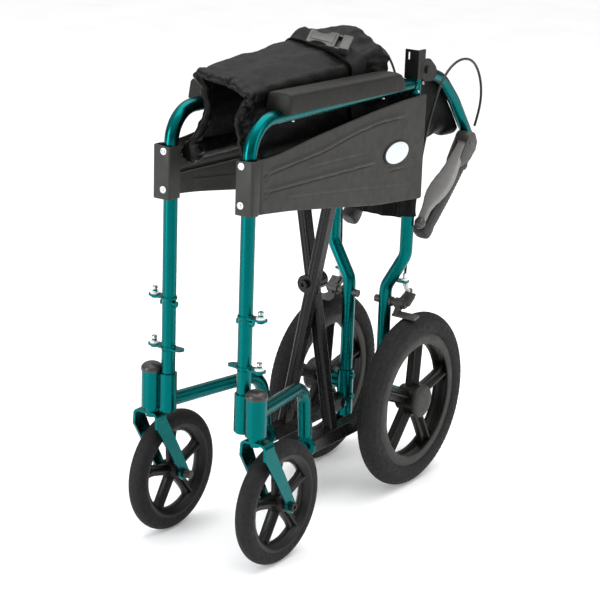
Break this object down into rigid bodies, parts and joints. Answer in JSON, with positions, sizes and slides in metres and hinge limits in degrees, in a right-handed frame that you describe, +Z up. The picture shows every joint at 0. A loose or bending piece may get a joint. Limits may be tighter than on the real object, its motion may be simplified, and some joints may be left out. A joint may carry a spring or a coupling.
{
  "type": "transport wheelchair",
  "caption": "Folding attendant-pushed wheelchair, folded flat: scissor cross brace, folding back with brake levers, swivelling front castors and spoked rear wheels.",
  "frame": {"origin": "bottom centre of the folded chair's bounding box, on the floor between the wheels", "axes": "+X to the user's left, +Y to the rear, +Z up"},
  "size_m": [0.2702, 0.7055, 0.7915],
  "materials": {
    "teal_paint": "metallic teal paint",
    "black_paint": "semi-gloss black paint",
    "guard_plastic": "satin dark warm grey",
    "pad_plastic": "satin dark warm grey",
    "black_plastic": "satin black",
    "wheel_plastic": "satin black with fine wear",
    "tyre": "matt tread with fine blocks",
    "grip_rubber": "matt",
    "lever_plastic": "satin grey",
    "cable_sheath": "satin",
    "nylon": "coated nylon, soft sheen",
    "webbing": "woven webbing",
    "buckle_plastic": "satin moulded",
    "zinc_steel": "bright zinc",
    "grey_metal": "satin grey-black",
    "badge": "satin white"
  },
  "bodies": {
    "left_frame": {"left_front_tube": "teal_paint", "left_rear_post": "teal_paint", "left_lower_tube": "teal_paint", "left_castor_housing": "teal_paint", "left_housing_cap": "black_plastic", "left_footrest_bracket": "teal_paint", "left_frame_screws": "zinc_steel", "left_arm_pad": "pad_plastic", "left_skirt_guard": "guard_plastic", "left_axle_bracket": "teal_paint", "left_hinge_bracket": "black_plastic", "left_brake_mount": "grey_metal"},
    "left_castor_swivel": {"left_castor_fork": "teal_paint"},
    "left_castor_wheel": {"left_castor_rim": "wheel_plastic", "left_castor_tyre": "tyre"},
    "left_rear_wheel": {"left_rear_rim": "wheel_plastic", "left_rear_tyre": "tyre"},
    "left_wheel_brake": {"left_brake_arm": "grey_metal"},
    "left_back": {"left_back_tube": "teal_paint", "left_push_grip": "grip_rubber", "left_lever_bracket": "black_plastic", "left_brake_cable": "cable_sheath"},
    "left_hand_lever": {"left_brake_lever": "lever_plastic"},
    "left_seat_side": {"left_seat_flap": "nylon"},
    "left_seat_top": {"left_seat_middle": "nylon", "lap_belt": "webbing", "belt_buckle": "buckle_plastic"},
    "right_frame": {"right_front_tube": "teal_paint", "right_rear_post": "teal_paint", "right_lower_tube": "teal_paint", "right_castor_housing": "teal_paint", "right_housing_cap": "black_plastic", "right_footrest_bracket": "teal_paint", "right_frame_screws": "zinc_steel", "right_arm_pad": "pad_plastic", "right_skirt_guard": "guard_plastic", "right_axle_bracket": "teal_paint", "right_hinge_bracket": "black_plastic", "right_brake_mount": "grey_metal"},
    "right_castor_swivel": {"right_castor_fork": "teal_paint"},
    "right_castor_wheel": {"right_castor_rim": "wheel_plastic", "right_castor_tyre": "tyre"},
    "right_rear_wheel": {"right_rear_rim": "wheel_plastic", "right_rear_tyre": "tyre"},
    "right_wheel_brake": {"right_brake_arm": "grey_metal"},
    "right_back": {"right_back_tube": "teal_paint", "right_push_grip": "grip_rubber", "right_lever_bracket": "black_plastic", "right_brake_cable": "cable_sheath"},
    "right_hand_lever": {"right_brake_lever": "lever_plastic"},
    "right_seat_side": {"right_seat_flap": "nylon"},
    "right_seat_top": {"right_seat_middle": "nylon"},
    "rear_brace": {"rear_cross_brace": "black_paint", "cross_pivot_bolt": "black_paint", "right_seat_rail": "black_paint"},
    "front_brace": {"front_cross_brace": "black_paint", "left_seat_rail": "black_paint"},
    "lower_back": {"lower_back_panel": "nylon"},
    "upper_back": {"upper_back_panel": "nylon"}
  },
  "joints": [
    {"name": "fold", "type": "hinge", "parent": "left_frame", "child": "rear_brace", "pos_m": [0.04, 0.0068, 0.124], "axis": [0, -1, 0], "range_deg": [0, 35], "deforming": ["left_seat_middle", "right_seat_middle", "lower_back_panel", "upper_back_panel"]},
    {"name": "brace_scissor", "type": "hinge", "parent": "rear_brace", "child": "front_brace", "pos_m": [0, 0.0068, 0.385], "axis": [0, 1, 0], "range_deg": [0, 70]},
    {"name": "right_foot_pivot", "type": "hinge", "parent": "front_brace", "child": "right_frame", "pos_m": [-0.04, 0.0068, 0.124], "axis": [0, -1, 0], "range_deg": [0, 35]},
    {"name": "left_seat_side_turn", "type": "hinge", "parent": "front_brace", "child": "left_seat_side", "pos_m": [0.054, 0.0068, 0.635], "axis": [0, -1, 0], "range_deg": [0, 125]},
    {"name": "left_seat_top_turn", "type": "hinge", "parent": "left_seat_side", "child": "left_seat_top", "pos_m": [0.0475, 0.0068, 0.7723], "axis": [0, 1, 0], "range_deg": [0, 90]},
    {"name": "right_seat_side_turn", "type": "hinge", "parent": "rear_brace", "child": "right_seat_side", "pos_m": [-0.054, 0.0068, 0.635], "axis": [0, 1, 0], "range_deg": [0, 125]},
    {"name": "right_seat_top_turn", "type": "hinge", "parent": "right_seat_side", "child": "right_seat_top", "pos_m": [-0.0475, 0.0068, 0.7723], "axis": [0, -1, 0], "range_deg": [0, 90]},
    {"name": "lower_back_spread", "type": "slide", "parent": "left_frame", "child": "lower_back", "axis": [-1, 0, 0], "range_m": [0, 0.285]},
    {"name": "upper_back_spread", "type": "slide", "parent": "left_back", "child": "upper_back", "axis": [-1, 0, 0], "range_m": [0, 0.285]},
    {"name": "back_fold", "type": "hinge", "parent": "left_frame", "child": "left_back", "pos_m": [0.073, 0.1598, 0.722], "axis": [1, 0, 0], "range_deg": [0, 132], "deforming": ["left_brake_cable"]},
    {"name": "left_lever_pull", "type": "hinge", "parent": "left_back", "child": "left_hand_lever", "pos_m": [0.0915, 0.29837, 0.5806], "axis": [1, 0, 0], "range_deg": [0, 6], "stiffness_Nm_per_rad": 2, "springref_deg": -17.19},
    {"name": "left_brake_press", "type": "hinge", "parent": "left_frame", "child": "left_wheel_brake", "pos_m": [0.066, 0.1438, 0.322], "axis": [1, 0, 0], "range_deg": [0, 5]},
    {"name": "left_castor_turn", "type": "hinge", "parent": "left_frame", "child": "left_castor_swivel", "pos_m": [0.101, -0.3122, 0.25], "axis": [0, 0, 1], "continuous": true},
    {"name": "left_castor_roll", "type": "hinge", "parent": "left_castor_swivel", "child": "left_castor_wheel", "pos_m": [0.105, -0.2552, 0.1], "axis": [1, 0, 0], "continuous": true},
    {"name": "left_rear_roll", "type": "hinge", "parent": "left_frame", "child": "left_rear_wheel", "pos_m": [0.091, 0.1558, 0.1525], "axis": [1, 0, 0], "continuous": true},
    {"name": "right_back_fold", "type": "hinge", "parent": "right_frame", "child": "right_back", "pos_m": [-0.073, 0.1598, 0.722], "axis": [1, 0, 0], "range_deg": [0, 132], "deforming": ["right_brake_cable"]},
    {"name": "right_lever_pull", "type": "hinge", "parent": "right_back", "child": "right_hand_lever", "pos_m": [-0.0915, 0.29837, 0.5806], "axis": [1, 0, 0], "range_deg": [0, 6], "stiffness_Nm_per_rad": 2, "springref_deg": -17.19},
    {"name": "right_brake_press", "type": "hinge", "parent": "right_frame", "child": "right_wheel_brake", "pos_m": [-0.066, 0.1438, 0.322], "axis": [1, 0, 0], "range_deg": [0, 5]},
    {"name": "right_castor_turn", "type": "hinge", "parent": "right_frame", "child": "right_castor_swivel", "pos_m": [-0.101, -0.3122, 0.25], "axis": [0, 0, 1], "continuous": true},
    {"name": "right_castor_roll", "type": "hinge", "parent": "right_castor_swivel", "child": "right_castor_wheel", "pos_m": [-0.105, -0.2552, 0.1], "axis": [1, 0, 0], "continuous": true},
    {"name": "right_rear_roll", "type": "hinge", "parent": "right_frame", "child": "right_rear_wheel", "pos_m": [-0.091, 0.1558, 0.1525], "axis": [1, 0, 0], "continuous": true}
  ],
  "couplings": [
    {"joint": "brace_scissor", "follows": "fold", "ratio": 2},
    {"joint": "right_foot_pivot", "follows": "fold", "ratio": 1},
    {"joint": "left_seat_side_turn", "follows": "fold", "ratio": 3.5714},
    {"joint": "left_seat_top_turn", "follows": "fold", "ratio": 2.5714},
    {"joint": "right_seat_side_turn", "follows": "fold", "ratio": 3.5714},
    {"joint": "right_seat_top_turn", "follows": "fold", "ratio": 2.5714},
    {"joint": "lower_back_spread", "follows": "fold", "m_per_rad": 0.46639},
    {"joint": "upper_back_spread", "follows": "fold", "m_per_rad": 0.46639},
    {"joint": "left_brake_press", "follows": "left_lever_pull", "ratio": 0.83333},
    {"joint": "right_back_fold", "follows": "back_fold", "ratio": 1},
    {"joint": "right_brake_press", "follows": "right_lever_pull", "ratio": 0.83333}
  ]
}
